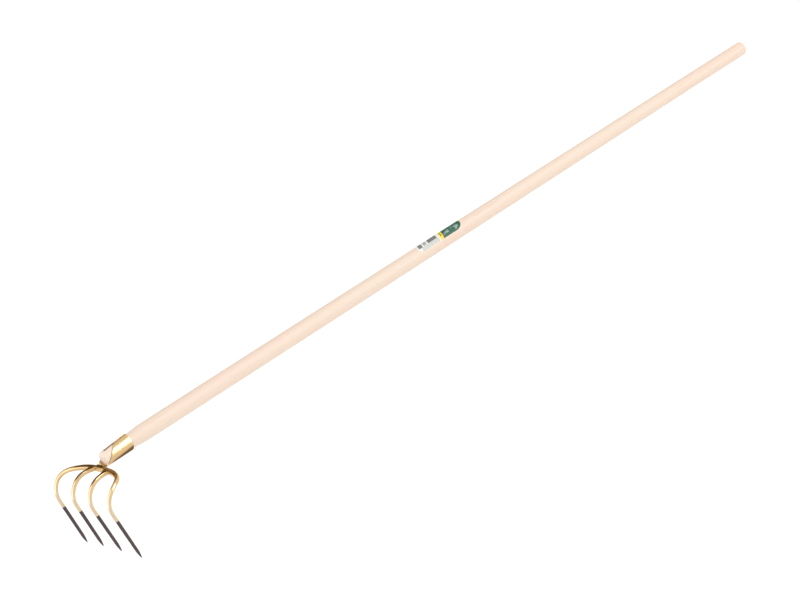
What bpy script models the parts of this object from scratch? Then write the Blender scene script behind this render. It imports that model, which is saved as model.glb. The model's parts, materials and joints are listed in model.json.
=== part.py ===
"""Manure drag: a four-tine steel head on a long ash handle.

The head is a flat fork whose four tines are bent down together over one round former. A bow bar
carries the two outer tines, two inner tines are welded to its front, and a rolled sheet socket
is welded to its back. The socket is cut to a V on top, so that the tapered nose of the handle
shows, and one nail through its left side holds the handle.

Everything is modelled in the tool's own frame: X across the head, +Y from the middle of the bow
bar along the handle, +Z up, with the handle's centre line on Y and the tines pointing down. The
finished tool is then laid on the ground, where it rests on the tine tips and on the handle's end.
"""
import math

import bmesh
import bpy
from mathutils import Matrix, Vector

# Clearance between pieces that touch
fit_gap = 0.0003

# Handle; its shoulder and its straight stretch are measured from the socket's rim
handle_length = 1.5942
nose_clearance = 0.0088
body_diameter = 0.0335
top_diameter = 0.0256
straight_length = 0.078
taper_power = 1.6
shoulder_length = 0.038
nose_rounding = 0.002
top_rounding = 0.004

# Rolled socket, measured from the back of the bow bar
sheet = 0.0016
socket_length = 0.0657
seam_length = 0.0337
seam_turn = math.radians(20)
strap_length = 0.0020
rim_radius = 0.0166
neck_radius = 0.0140
neck_drop = 0.0036
seam_gap = 0.0012
strap_half_angle = math.radians(40)
strap_fillet_angle = math.radians(5)

# Bow bar with the outer tines, as laid out flat before bending
strap_seat = 0.0015
bow_half_width = 0.0924
bow_offset = 0.0011
bow_depth = 0.0556
bow_fullness = 2.48
fullness_offset = 0.30
outer_tip_half_width = 0.0943
outer_flat_length = 0.1903
outer_bend_start = 0.0183
bar_width = 0.0095
bar_thickness = 0.0080
bar_edge_radius = 0.0012
bar_flat_half_width = 0.040
boss_length = 0.022
boss_rise = 0.0025
boss_ramp = 0.007

# Inner tines, as laid out flat before bending
inner_root_offset = 0.0232
inner_shoulder_offset = 0.0285
inner_shoulder = 0.0493
inner_tip_offset = 0.0316
inner_flat_length = 0.1875
inner_bend_start = 0.0196
inner_width = 0.0080
inner_thickness = 0.0072
root_flare = 0.0090
root_flare_length = 0.014

# Bend and point shared by the four tines
bend_radius = 0.040
bend_angle = math.radians(100.8)
round_diameter = 0.0070
dip_diameter = 0.0069
dip_taper_length = 0.020
dip_line = -0.0788
point_length = 0.019
point_start_diameter = 0.0061
point_diameter = 0.0016
point_power = 1.8

# Fillet beads of the welds
corner_bead_radius = 0.0018
corner_bead_height = 0.0060
neck_bead_leg = 0.0028
neck_bead_bulge = 0.04

# Nail through the socket's left side
nail_setback = 0.020
nail_angle = math.radians(-90)
nail_shank_diameter = 0.0034
nail_length = 0.024
nail_head_diameter = 0.0080
nail_head_height = 0.0022

# Paper label round the handle, measured from the socket's rim
label_start = 0.699
label_length = 0.112
label_half_angle = math.radians(64)
label_thickness = 0.0003
label_corner = 0.010

# Facets
handle_sides = 40
corner_steps = 4
fine_step = 0.0045
coarse_step = 0.020
samples = 400
notch_steps = 22
strap_steps = 4
fillet_steps = 3
bead_sides = 20
nail_sides = 20
rounding_steps = 4
corner_trials = 4

# Places that follow from the sizes above
bow_height = strap_seat - neck_drop - neck_radius
bow_rear = bar_width / 2
nose_start = bow_rear + nose_clearance
neck_end = bow_rear + fit_gap
rim_position = neck_end + socket_length
notch_apex = rim_position - seam_length
notch_end = neck_end + strap_length
strap_angle = math.pi - strap_half_angle
nail_position = rim_position - nail_setback
handle_end = nose_start + handle_length


def blend(start, end, share):
    """Value between start and end, eased at both ends; the share is held between 0 and 1."""
    share = min(max(share, 0.0), 1.0)
    eased = share * share * (3 - 2 * share)
    return start + (end - start) * eased


def make_material(name, color, roughness, metallic):
    material = bpy.data.materials.new(name)
    material.use_nodes = True
    shader = material.node_tree.nodes["Principled BSDF"]
    shader.inputs["Base Color"].default_value = (*color, 1.0)
    shader.inputs["Roughness"].default_value = roughness
    shader.inputs["Metallic"].default_value = metallic
    return material


def make_object(name, mesh_builder, materials, parent, sharp_angle=math.radians(35)):
    """Turn a bmesh into a named, smooth-shaded object of the tool."""
    bmesh.ops.recalc_face_normals(mesh_builder, faces=mesh_builder.faces)
    mesh = bpy.data.meshes.new(name)
    mesh_builder.to_mesh(mesh)
    mesh_builder.free()
    mesh.shade_smooth()
    mesh.set_sharp_from_angle(angle=sharp_angle)
    for material in materials:
        mesh.materials.append(material)
    thing = bpy.data.objects.new(name, mesh)
    thing.parent = parent
    bpy.context.scene.collection.objects.link(thing)
    return thing


def make_cutter(thing):
    """Mark an object as a tool that only cuts others."""
    thing.hide_render = True
    thing.display_type = "WIRE"
    return thing


def cut(thing, cutter):
    modifier = thing.modifiers.new("cut by " + cutter.name, "BOOLEAN")
    modifier.operation = "DIFFERENCE"
    modifier.solver = "EXACT"
    modifier.object = cutter


def loft(rings):
    """Skin a row of rings of equal length and close both ends."""
    skin = bmesh.new()
    rows = [[skin.verts.new(point) for point in ring] for ring in rings]
    for first, second in zip(rows, rows[1:]):
        for index in range(len(first)):
            following = (index + 1) % len(first)
            skin.faces.new((first[index], first[following], second[following], second[index]))
    skin.faces.new(rows[0])
    skin.faces.new(reversed(rows[-1]))
    return skin


def circle_ring(position, radius, height, sides):
    """Ring round the Y direction at a position along the handle."""
    ring = []
    for index in range(sides):
        angle = 2 * math.pi * index / sides
        ring.append(Vector((radius * math.sin(angle), position, height + radius * math.cos(angle))))
    return ring


def bar_ring(centre, across, up, width, thickness, edge_radius):
    """Section of a forged bar: a rectangle whose rounded edges can grow into a full circle."""
    edge_radius = min(edge_radius, width / 2, thickness / 2)
    ring = []
    for quarter in range(4):
        for step in range(corner_steps):
            angle = math.pi / 2 * (quarter + (step + 0.5) / corner_steps)
            side = math.copysign(width / 2 - edge_radius, math.cos(angle))
            rise = math.copysign(thickness / 2 - edge_radius, math.sin(angle))
            side += edge_radius * math.cos(angle)
            rise += edge_radius * math.sin(angle)
            ring.append(centre + across * side + up * rise)
    return ring


# Sizes shared by the handle and the socket

def socket_share(position):
    """0 at the neck end of the socket and 1 at its rim."""
    return (position - notch_end) / (rim_position - notch_end)


def socket_radius(position):
    return neck_radius + (rim_radius - neck_radius) * socket_share(position)


def socket_height(position):
    """The socket's centre line drops towards the neck, so its underside stays straight."""
    return -neck_drop * (1 - socket_share(position))


def handle_radius(position):
    """Radius of the turned handle beyond the socket."""
    nose_radius = rim_radius - sheet - fit_gap
    taper_start = rim_position + straight_length
    tapered = max(position - taper_start, 0.0) / (handle_end - taper_start)
    radius = (body_diameter - (body_diameter - top_diameter) * tapered ** taper_power) / 2
    return blend(nose_radius, radius, (position - rim_position) / shoulder_length)


# Handle and label

def handle_profile():
    """Position, radius and height of the handle's rings from the nose to the top end."""
    rows = []
    for step in range(rounding_steps + 1):
        angle = math.pi / 2 * step / rounding_steps
        position = nose_start + nose_rounding * (1 - math.cos(angle))
        radius = socket_radius(position) - sheet - fit_gap - nose_rounding * (1 - math.sin(angle))
        rows.append((position, radius, socket_height(position)))
    position = nose_start + nose_rounding
    stretches = ((rim_position, 4), (rim_position + shoulder_length, 5), (handle_end - top_rounding, 16))
    for end, steps in stretches:
        start = position
        for step in range(1, steps + 1):
            position = start + (end - start) * step / steps
            if position <= rim_position:
                rows.append((position, socket_radius(position) - sheet - fit_gap, socket_height(position)))
            else:
                rows.append((position, handle_radius(position), 0.0))
    for step in range(1, rounding_steps + 1):
        angle = math.pi / 2 * step / rounding_steps
        position = handle_end - top_rounding * (1 - math.sin(angle))
        rows.append((position, handle_radius(position) - top_rounding * (1 - math.cos(angle)), 0.0))
    return rows


def build_handle(wood, tool):
    rings = [circle_ring(*row, handle_sides) for row in handle_profile()]
    return make_object("handle", loft(rings), [wood], tool)


def label_rows():
    """Distance along the label and inset of its edge, with both ends' corners as quarter arcs."""
    corner_rows = 6
    arc = []
    for row in range(corner_rows + 1):
        angle = math.pi / 2 * row / corner_rows
        arc.append((label_corner * (1 - math.cos(angle)), label_corner * (1 - math.sin(angle))))
    return arc + [(label_length - along, inset) for along, inset in reversed(arc)]


def build_label(paper, tool):
    """A thin curved sheet that follows the handle."""
    across_steps = 14
    rings = []
    for along, inset in label_rows():
        position = rim_position + label_start + along
        inner = handle_radius(position) + fit_gap
        half_angle = label_half_angle - inset / inner
        ring = []
        for radius, direction in ((inner, 1), (inner + label_thickness, -1)):
            for step in range(across_steps + 1):
                angle = direction * half_angle * (2 * step / across_steps - 1)
                ring.append(Vector((radius * math.sin(angle), position, radius * math.cos(angle))))
        rings.append(ring)
    return make_object("label", loft(rings), [paper], tool)


# Rolled socket

def notch_edge(angle):
    """Where the sheet begins at an angle from the seam: the V, then the strap opposite the seam."""
    straight = notch_apex + (notch_end - notch_apex) * min(angle / strap_angle, 1.0)
    return blend(straight, neck_end, (angle - strap_angle) / strap_fillet_angle)


def build_socket(lacquer, tool):
    """Sheet rolled round the nose, from one edge of the seam round to the other."""
    corners = (seam_gap / 2 / rim_radius, strap_angle, strap_angle + strap_fillet_angle, math.pi)
    angles = [corners[0]]
    for first, second, steps in zip(corners, corners[1:], (notch_steps, fillet_steps, strap_steps)):
        angles += [first + (second - first) * step / steps for step in range(1, steps + 1)]
    angles += [2 * math.pi - angle for angle in reversed(angles[:-1])]
    length_steps = 6
    rings = []
    for angle in angles:
        start = notch_edge(min(angle, 2 * math.pi - angle))
        outer_side = []
        inner_side = []
        for step in range(length_steps + 1):
            position = start + (rim_position - start) * step / length_steps
            centre = Vector((0.0, position, socket_height(position)))
            outward = Vector((math.sin(angle + seam_turn), 0.0, math.cos(angle + seam_turn)))
            outer_side.append(centre + outward * socket_radius(position))
            inner_side.append(centre + outward * (socket_radius(position) - sheet))
        rings.append(outer_side + inner_side[::-1])
    return make_object("socket", loft(rings), [lacquer], tool)


# Forged bars of the head

def even_path(points):
    """Points at equal fine steps along a densely sampled flat path."""
    lengths = [0.0]
    for first, second in zip(points, points[1:]):
        lengths.append(lengths[-1] + math.dist(first, second))
    total_steps = max(round(lengths[-1] / fine_step), 1)
    evened = []
    index = 0
    for step in range(total_steps + 1):
        wanted = lengths[-1] * step / total_steps
        while index < len(lengths) - 2 and lengths[index + 1] < wanted:
            index += 1
        share = (wanted - lengths[index]) / (lengths[index + 1] - lengths[index])
        first = points[index]
        second = points[index + 1]
        evened.append(tuple(a + (b - a) * share for a, b in zip(first, second)))
    return evened


def along_line(start, end, forward):
    """Point of a straight flat line at a forward position."""
    share = (forward - start[1]) / (end[1] - start[1])
    return start[0] + (end[0] - start[0]) * share, forward


def run_out(start, end, length):
    """Straight stretch of a flat path in steps of about a length, without its first point."""
    steps = max(round(math.dist(start, end) / length), 1)
    return [tuple(a + (b - a) * step / steps for a, b in zip(start, end)) for step in range(1, steps + 1)]


def bow_reach(mirror):
    """Distance from the handle's line to the side of the bow; the bow sits a little to the right."""
    return bow_half_width + mirror * bow_offset


def bow_power(mirror):
    """2 is an ellipse and more is squarer; the right shoulder is forged squarer than the left."""
    return bow_fullness + mirror * fullness_offset


def flat_outer_path(mirror):
    """One half of the bow bar: from the boss round the bow, then straight to the tip."""
    curve = []
    for step in range(samples + 1):
        angle = math.pi / 2 * step / samples
        side = bow_reach(mirror) * math.sin(angle) ** (2 / bow_power(mirror))
        forward = bow_depth * (1 - max(math.cos(angle), 0.0) ** (2 / bow_power(mirror)))
        curve.append((side, forward))
    return straight_after(even_path(curve), outer_tip_half_width, outer_flat_length, outer_bend_start)


def inner_side(forward):
    """Distance of a right inner tine from the middle, up to its shoulder."""
    to_shoulder = 1 - forward / inner_shoulder
    return inner_shoulder_offset - (inner_shoulder_offset - inner_root_offset) * to_shoulder ** 2


def flat_inner_path():
    """Right inner tine: a slight sweep outwards from the bow, then straight to the tip."""
    curve = []
    for step in range(samples + 1):
        forward = inner_shoulder * step / samples
        curve.append((inner_side(forward), forward))
    return straight_after(even_path(curve), inner_tip_offset, inner_flat_length, inner_bend_start)


def straight_after(path, tip_side, tip_forward, bend_start):
    """Add the rest of the tine: fine steps while it bends, coarse ones where it is straight."""
    start = path[-1]
    tip = (tip_side, tip_forward)
    bend_end = along_line(start, tip, bend_start + bend_radius * bend_angle)
    point_start = along_line(start, tip, tip_forward - point_length)
    path += run_out(start, bend_end, fine_step)
    path += run_out(bend_end, point_start, coarse_step)
    path += run_out(point_start, tip, fine_step)
    return path


def bend_down(side, forward, bend_start):
    """Point and up direction of a flat path once the tines are bent over the former."""
    bent = min(max(forward - bend_start, 0.0), bend_radius * bend_angle)
    angle = bent / bend_radius
    beyond = max(forward - bend_start - bend_radius * bend_angle, 0.0)
    reach = min(forward, bend_start) + bend_radius * math.sin(angle) + beyond * math.cos(bend_angle)
    height = bow_height - bend_radius * (1 - math.cos(angle)) - beyond * math.sin(bend_angle)
    up = Vector((0.0, -math.sin(angle), math.cos(angle)))
    return Vector((side, -reach, height)), up


def tine_section(forward, flat_length, bend_start, width, thickness):
    """Width, thickness and edge radius of a tine at a distance along its flat layout."""
    bend_end = bend_start + bend_radius * bend_angle
    rounding = forward / bend_end
    wide = blend(width, round_diameter, rounding)
    thick = blend(thickness, round_diameter, rounding)
    edge = blend(bar_edge_radius, round_diameter / 2, rounding)
    if forward > bend_end:
        point_from = flat_length - point_length
        share = min((forward - bend_end) / (point_from - bend_end), 1.0)
        wide = dip_diameter + (point_start_diameter - dip_diameter) * share
        wide = blend(round_diameter, wide, (forward - bend_end) / dip_taper_length)
        if forward > point_from:
            share = (forward - point_from) / point_length
            wide = point_start_diameter + (point_diameter - point_start_diameter) * share ** point_power
        thick = wide
        edge = wide / 2
    return wide, thick, edge


def sweep_bar(points, ups, sections, growth):
    """Skin a bar along its centre points; growth makes the same bar larger all round."""
    rings = []
    for index, centre in enumerate(points):
        before = points[max(index - 1, 0)]
        after = points[min(index + 1, len(points) - 1)]
        along = (after - before).normalized()
        across = along.cross(ups[index]).normalized()
        up = across.cross(along).normalized()
        width, thickness, edge = (size + 2 * growth for size in sections[index])
        rings.append(bar_ring(centre, across, up, width, thickness, edge))
    return loft(rings)


def paint_tips(solid):
    """Split the faces at the dip line and give those below it the second material."""
    geometry = solid.verts[:] + solid.edges[:] + solid.faces[:]
    level = Vector((0.0, 0.0, dip_line))
    bmesh.ops.bisect_plane(solid, geom=geometry, plane_co=level, plane_no=Vector((0.0, 0.0, 1.0)))
    for face in solid.faces:
        if face.calc_center_median().z < dip_line:
            face.material_index = 1


def bow_solid(growth=0.0):
    points = []
    ups = []
    sections = []
    for mirror, stations in ((-1, flat_outer_path(-1)[:0:-1]), (1, flat_outer_path(1))):
        for side, forward in stations:
            sizes = tine_section(forward, outer_flat_length, outer_bend_start, bar_width, bar_thickness)
            # the top is flat in the middle of the bow and rounds over towards its sides
            rounded = (side - bar_flat_half_width) / (bow_half_width - bar_flat_half_width)
            edge = max(blend(bar_edge_radius, bar_thickness / 2, rounded), sizes[2])
            # the boss swells upwards, so the underside of the bar stays straight
            rise = blend(boss_rise, 0.0, (side - boss_length / 2) / boss_ramp)
            point, up = bend_down(side * mirror, forward, outer_bend_start)
            points.append(point + up * rise / 2)
            ups.append(up)
            sections.append((sizes[0], sizes[1] + rise, edge))
    return sweep_bar(points, ups, sections, growth)


def inner_solid(mirror, growth=0.0):
    points = []
    ups = []
    sections = []
    for side, forward in flat_inner_path():
        sizes = tine_section(forward, inner_flat_length, inner_bend_start, inner_width, inner_thickness)
        point, up = bend_down(side * mirror, forward, inner_bend_start)
        points.append(point)
        ups.append(up)
        sections.append((sizes[0] + root_spread(forward), sizes[1], sizes[2]))
    return sweep_bar(points, ups, sections, growth)


def root_spread(forward):
    """How much wider an inner tine is near its root, where it was upset for the weld."""
    return root_flare * max(1 - max(forward - bar_width / 2, 0.0) / root_flare_length, 0.0) ** 2


def build_bar(name, solid, lacquers, tool):
    paint_tips(solid)
    return make_object(name, solid, lacquers, tool)


def build_head(lacquers, tool):
    """The bow bar, the inner tines coped to its front, and the beads in their corners."""
    bow = build_bar("outer_tine_bow", bow_solid(), lacquers, tool)
    bow_cutter = make_cutter(make_object("bow clearance", bow_solid(fit_gap), [], tool))
    for mirror, side in ((-1, "left"), (1, "right")):
        tine = build_bar("inner_tine_" + side, inner_solid(mirror), lacquers, tool)
        cut(tine, bow_cutter)
        tine_cutter = make_cutter(make_object("clearance " + side, inner_solid(mirror, fit_gap), [], tool))
        for corner, place in ((-1, "near"), (1, "far")):
            weld = build_corner_weld(f"weld_inner_{side}_{place}", mirror, corner, lacquers[0], tool)
            cut(weld, bow_cutter)
            cut(weld, tine_cutter)
    return bow


# Welds

def bow_front(side, mirror):
    """Forward position of the bow bar's front face at a distance from the handle's line."""
    share = (1 - (side / bow_reach(mirror)) ** bow_power(mirror)) ** (1 / bow_power(mirror))
    return bow_depth * (1 - share) + bar_width / 2


def build_corner_weld(name, mirror, corner, lacquer, tool):
    """Upright bead in the corner between an inner tine and the front of the bow bar."""
    side = inner_root_offset
    for _ in range(corner_trials):
        forward = bow_front(side, mirror)
        side = inner_side(forward) + corner * (inner_width + root_spread(forward)) / 2
    bead = bmesh.new()
    bmesh.ops.create_cone(
        bead, cap_ends=True, segments=bead_sides, radius1=corner_bead_radius, radius2=corner_bead_radius,
        depth=corner_bead_height, matrix=Matrix.Translation((side * mirror, -forward, bow_height)),
    )
    return make_object(name, bead, [lacquer], tool)


def build_neck_weld(lacquer, tool):
    """Fillet under the strap, in its corner with the back of the boss."""
    half_angle = strap_half_angle - strap_fillet_angle
    corner = socket_radius(neck_end) + fit_gap
    section = [(0.0, 0.0)]
    for step in range(fillet_steps + 1):
        share = step / fillet_steps
        bulge = neck_bead_bulge * math.sin(math.pi * share)
        section.append((1 - share + bulge, share + bulge))
    rings = []
    for step in range(2 * strap_steps + 1):
        angle = math.pi + seam_turn + half_angle * (step / strap_steps - 1)
        outward = Vector((math.sin(angle), 0.0, math.cos(angle)))
        ring = []
        for along, rise in section:
            position = neck_end + neck_bead_leg * along
            centre = Vector((0.0, position, socket_height(position)))
            ring.append(centre + outward * (corner + neck_bead_leg * rise))
        rings.append(ring)
    return make_object("weld_neck", loft(rings), [lacquer], tool)


# Nail

def turned(profile, sides):
    """Solid of revolution about the nail's line; heights run outwards from the socket's middle."""
    outward = Vector((math.sin(nail_angle), 0.0, math.cos(nail_angle)))
    along = Vector((0.0, 1.0, 0.0))
    across = outward.cross(along)
    middle = Vector((0.0, nail_position, socket_height(nail_position)))
    solid = bmesh.new()
    rows = []
    for radius, height in profile:
        row = []
        for index in range(sides if radius else 1):
            angle = 2 * math.pi * index / sides
            spoke = along * math.cos(angle) + across * math.sin(angle)
            row.append(solid.verts.new(middle + outward * height + spoke * radius))
        rows.append(row)
    for first, second in zip(rows, rows[1:]):
        for index in range(sides):
            following = (index + 1) % sides
            corners = (
                first[index % len(first)], first[following % len(first)],
                second[following % len(second)], second[index % len(second)],
            )
            solid.faces.new(list(dict.fromkeys(corners)))
    return solid


def build_nail(steel, tool, socket, handle):
    """Round-headed nail, with a hole of its own through the socket and into the handle."""
    head_radius = nail_head_diameter / 2
    shank_radius = nail_shank_diameter / 2
    seat = socket_radius(nail_position + head_radius) + fit_gap
    point = seat - nail_length
    profile = [(0.0, point), (shank_radius, point + nail_shank_diameter)]
    profile += [(shank_radius, seat), (head_radius, seat)]
    dome_steps = 5
    for step in range(1, dome_steps):
        angle = math.pi / 2 * step / dome_steps
        profile.append((head_radius * math.cos(angle), seat + nail_head_height * math.sin(angle)))
    profile.append((0.0, seat + nail_head_height))
    make_object("nail", turned(profile, nail_sides), [steel], tool)
    hole_radius = shank_radius + fit_gap
    hole = ((0.0, point - fit_gap), (hole_radius, point - fit_gap), (hole_radius, seat), (0.0, seat))
    drill = make_cutter(make_object("nail hole", turned(hole, nail_sides), [], tool))
    cut(socket, drill)
    cut(handle, drill)


# Laying the tool on the ground

def lowest(thing, tilt):
    """Lowest height of an object's corners with the tool tilted about X."""
    turn = Matrix.Rotation(-tilt, 3, "X")
    return min((turn @ vertex.co).z for vertex in thing.data.vertices)


def resting_tilt(tips, handle):
    """Tilt at which the tine tips and the handle's top end touch the ground together."""
    low = 0.0
    high = math.pi / 4
    for _ in range(50):
        middle = (low + high) / 2
        if lowest(tips, middle) < lowest(handle, middle):
            low = middle
        else:
            high = middle
    return (low + high) / 2


def lay_down(tool, bow, handle):
    """Tilt the tool to its rest and put the middle of its bounding box's underside at the origin."""
    tilt = resting_tilt(bow, handle)
    tool.rotation_euler = (-tilt, 0.0, 0.0)
    turn = Matrix.Rotation(-tilt, 4, "X")
    pieces = [piece for piece in tool.children if not piece.hide_render]
    corners = [turn @ vertex.co for piece in pieces for vertex in piece.data.vertices]
    lows = [min(corner[axis] for corner in corners) for axis in range(3)]
    highs = [max(corner[axis] for corner in corners) for axis in range(3)]
    tool.location = (-(lows[0] + highs[0]) / 2, -(lows[1] + highs[1]) / 2, -lows[2])


def main():
    for thing in list(bpy.data.objects):
        bpy.data.objects.remove(thing)
    wood = make_material("ash wood", (0.83, 0.66, 0.47), 0.55, 0.0)
    lacquer = make_material("gold lacquer", (0.62, 0.43, 0.16), 0.28, 0.8)
    dip_lacquer = make_material("black lacquer", (0.035, 0.03, 0.03), 0.45, 0.0)
    steel = make_material("bright steel", (0.55, 0.55, 0.56), 0.35, 1.0)
    paper = make_material("label paper", (0.12, 0.32, 0.24), 0.5, 0.0)
    tool = bpy.data.objects.new("tool frame", None)
    bpy.context.scene.collection.objects.link(tool)

    handle = build_handle(wood, tool)
    build_label(paper, tool)
    socket = build_socket(lacquer, tool)
    bow = build_head((lacquer, dip_lacquer), tool)
    build_neck_weld(lacquer, tool)
    build_nail(steel, tool, socket, handle)
    lay_down(tool, bow, handle)


main()
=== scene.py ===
"""Manure drag: a turned ash handle, a forged four-tine head in gold lacquer, and its studio.

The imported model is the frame. Each operator below models one piece over it, in the tool's own
frame, and lays it in its place: X runs across the head, +Y from the middle of the bow bar along
the handle, +Z up, with the handle's centre line on Y and the tines pointing down.
"""

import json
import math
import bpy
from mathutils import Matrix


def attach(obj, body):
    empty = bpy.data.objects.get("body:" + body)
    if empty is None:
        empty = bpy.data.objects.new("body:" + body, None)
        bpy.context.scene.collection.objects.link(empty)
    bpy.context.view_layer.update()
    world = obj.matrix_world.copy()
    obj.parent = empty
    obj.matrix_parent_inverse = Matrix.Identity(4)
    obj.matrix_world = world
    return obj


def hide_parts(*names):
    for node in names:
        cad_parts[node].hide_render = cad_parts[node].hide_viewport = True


bl_info = {
    "name": "Manure Drag",
    "version": (1, 0, 0),
    "blender": (4, 5, 0),
    "location": "3D View > Sidebar > Manure Drag",
    "description": "Models a four-tine manure drag with a rolled socket and an ash handle",
    "category": "Add Mesh",
}

import bmesh
import bpy
from mathutils import Matrix, Vector

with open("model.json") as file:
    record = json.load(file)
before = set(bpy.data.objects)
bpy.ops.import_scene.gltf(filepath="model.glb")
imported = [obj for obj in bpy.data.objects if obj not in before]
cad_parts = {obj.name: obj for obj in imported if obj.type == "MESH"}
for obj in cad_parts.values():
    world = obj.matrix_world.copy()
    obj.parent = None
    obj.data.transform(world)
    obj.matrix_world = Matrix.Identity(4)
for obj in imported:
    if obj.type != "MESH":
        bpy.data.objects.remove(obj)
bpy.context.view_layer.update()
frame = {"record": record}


# Settings

class HandleSettings(bpy.types.PropertyGroup):
    length: bpy.props.FloatProperty(
        name="Length", description="Handle from its nose to its top end",
        default=1.5958, unit="LENGTH")
    body_diameter: bpy.props.FloatProperty(
        name="Body diameter", description="Diameter behind the socket",
        default=0.0335, unit="LENGTH")
    top_diameter: bpy.props.FloatProperty(
        name="Top diameter", description="Diameter at the top end", default=0.0256, unit="LENGTH")
    straight_length: bpy.props.FloatProperty(
        name="Straight length", description="From the socket's rim to the taper",
        default=0.078, unit="LENGTH")
    taper_power: bpy.props.FloatProperty(
        name="Taper power", description="How late the taper sets in", default=1.6)
    shoulder_length: bpy.props.FloatProperty(
        name="Shoulder length", description="Swelling behind the rim", default=0.038, unit="LENGTH")
    nose_rounding: bpy.props.FloatProperty(
        name="Nose rounding", description="Radius of the nose's edge", default=0.001, unit="LENGTH")
    top_rounding: bpy.props.FloatProperty(
        name="Top rounding", description="Radius of the top end's edge",
        default=0.004, unit="LENGTH")
    pale_wood: bpy.props.FloatVectorProperty(
        name="Pale wood", description="Late wood between the pores", subtype="COLOR",
        default=(0.750, 0.618, 0.506), min=0, max=1)
    warm_wood: bpy.props.FloatVectorProperty(
        name="Warm wood", description="Pinkish cast of some stretches", subtype="COLOR",
        default=(0.760, 0.595, 0.492), min=0, max=1)
    pore_wood: bpy.props.FloatVectorProperty(
        name="Pore wood", description="Rows of pores in the early wood", subtype="COLOR",
        default=(0.64, 0.47, 0.33), min=0, max=1)
    ring_width: bpy.props.FloatProperty(
        name="Ring width", description="Width of one growth ring", default=0.0026, unit="LENGTH")


class HeadSettings(bpy.types.PropertyGroup):
    bow_half_width: bpy.props.FloatProperty(
        name="Bow half width", description="Middle to the side of the bow",
        default=0.0924, unit="LENGTH")
    bow_offset: bpy.props.FloatProperty(
        name="Bow offset", description="How far the bow sits to the right",
        default=0.0011, unit="LENGTH")
    bow_depth: bpy.props.FloatProperty(
        name="Bow depth", description="Back of the bow to its sides, laid out flat",
        default=0.0556, unit="LENGTH")
    bow_fullness: bpy.props.FloatProperty(
        name="Bow fullness", description="2 is an ellipse, more is squarer", default=2.48)
    fullness_offset: bpy.props.FloatProperty(
        name="Fullness offset", description="How much squarer the right shoulder is", default=0.30)
    bar_width: bpy.props.FloatProperty(
        name="Bar width", description="Bow bar across", default=0.0095, unit="LENGTH")
    bar_thickness: bpy.props.FloatProperty(
        name="Bar thickness", description="Bow bar in height", default=0.0080, unit="LENGTH")
    bar_edge_radius: bpy.props.FloatProperty(
        name="Bar edge radius", description="Rounding of the forged edges",
        default=0.0012, unit="LENGTH")
    inner_width: bpy.props.FloatProperty(
        name="Inner tine width", description="Inner tine across at its root",
        default=0.0080, unit="LENGTH")
    inner_thickness: bpy.props.FloatProperty(
        name="Inner tine thickness", description="Inner tine in height at its root",
        default=0.0072, unit="LENGTH")
    bend_radius: bpy.props.FloatProperty(
        name="Bend radius", description="Former that the tines are bent over",
        default=0.040, unit="LENGTH")
    bend_angle: bpy.props.FloatProperty(
        name="Bend angle", description="Angle of the bent tines",
        default=math.radians(100.8), subtype="ANGLE")
    round_diameter: bpy.props.FloatProperty(
        name="Round diameter", description="Tine where it has become round",
        default=0.0070, unit="LENGTH")
    gold: bpy.props.FloatVectorProperty(
        name="Gold lacquer", description="Lacquer over bright steel", subtype="COLOR",
        default=(0.66, 0.46, 0.225), min=0, max=1)
    thin_gold: bpy.props.FloatVectorProperty(
        name="Thin gold", description="Where the lacquer has drained off", subtype="COLOR",
        default=(0.74, 0.62, 0.46), min=0, max=1)
    # deep gold is also the colour of the painted dark reflection and shade on the head
    deep_gold: bpy.props.FloatVectorProperty(
        name="Deep gold", description="Where the lacquer lies thick", subtype="COLOR",
        default=(0.13, 0.058, 0.009), min=0, max=1)


class DipSettings(bpy.types.PropertyGroup):
    line: bpy.props.FloatProperty(
        name="Dip line", description="Height of the dip line below the handle",
        default=-0.0788, unit="LENGTH")
    film: bpy.props.FloatProperty(
        name="Film", description="Thickness of the dipped lacquer", default=0.00012, unit="LENGTH")
    black: bpy.props.FloatVectorProperty(
        name="Black lacquer", description="Satin dip lacquer", subtype="COLOR",
        default=(0.066, 0.047, 0.047), min=0, max=1)


class SocketSettings(bpy.types.PropertyGroup):
    sheet: bpy.props.FloatProperty(
        name="Sheet", description="Thickness of the rolled sheet", default=0.0016, unit="LENGTH")
    length: bpy.props.FloatProperty(
        name="Length", description="From the bow bar to the rim", default=0.0657, unit="LENGTH")
    seam_length: bpy.props.FloatProperty(
        name="Seam length", description="From the rim to the V", default=0.0285, unit="LENGTH")
    seam_turn: bpy.props.FloatProperty(
        name="Seam turn", description="Turn of the seam to the right of the top",
        default=math.radians(-3), subtype="ANGLE")
    rim_radius: bpy.props.FloatProperty(
        name="Rim radius", description="Outer radius at the rim", default=0.0166, unit="LENGTH")
    neck_radius: bpy.props.FloatProperty(
        name="Neck radius", description="Outer radius at the strap", default=0.0140, unit="LENGTH")
    seam_gap: bpy.props.FloatProperty(
        name="Seam gap", description="Gap between the sheet's edges", default=0.0012, unit="LENGTH")


class LabelSettings(bpy.types.PropertyGroup):
    start: bpy.props.FloatProperty(
        name="Start", description="From the socket's rim to the label",
        default=0.699, unit="LENGTH")
    length: bpy.props.FloatProperty(
        name="Length", description="Label along the handle", default=0.1073, unit="LENGTH")
    green: bpy.props.FloatVectorProperty(
        name="Green", description="Upper field", subtype="COLOR",
        default=(0.012, 0.090, 0.052), min=0, max=1)
    yellow: bpy.props.FloatVectorProperty(
        name="Yellow", description="Band between the fields", subtype="COLOR",
        default=(0.82, 0.62, 0.05), min=0, max=1)
    grey: bpy.props.FloatVectorProperty(
        name="Grey", description="Printed blocks of the lower field", subtype="COLOR",
        default=(0.13, 0.13, 0.12), min=0, max=1)
    paper: bpy.props.FloatVectorProperty(
        name="Paper", description="Unprinted paper", subtype="COLOR",
        default=(0.72, 0.73, 0.70), min=0, max=1)


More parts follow.
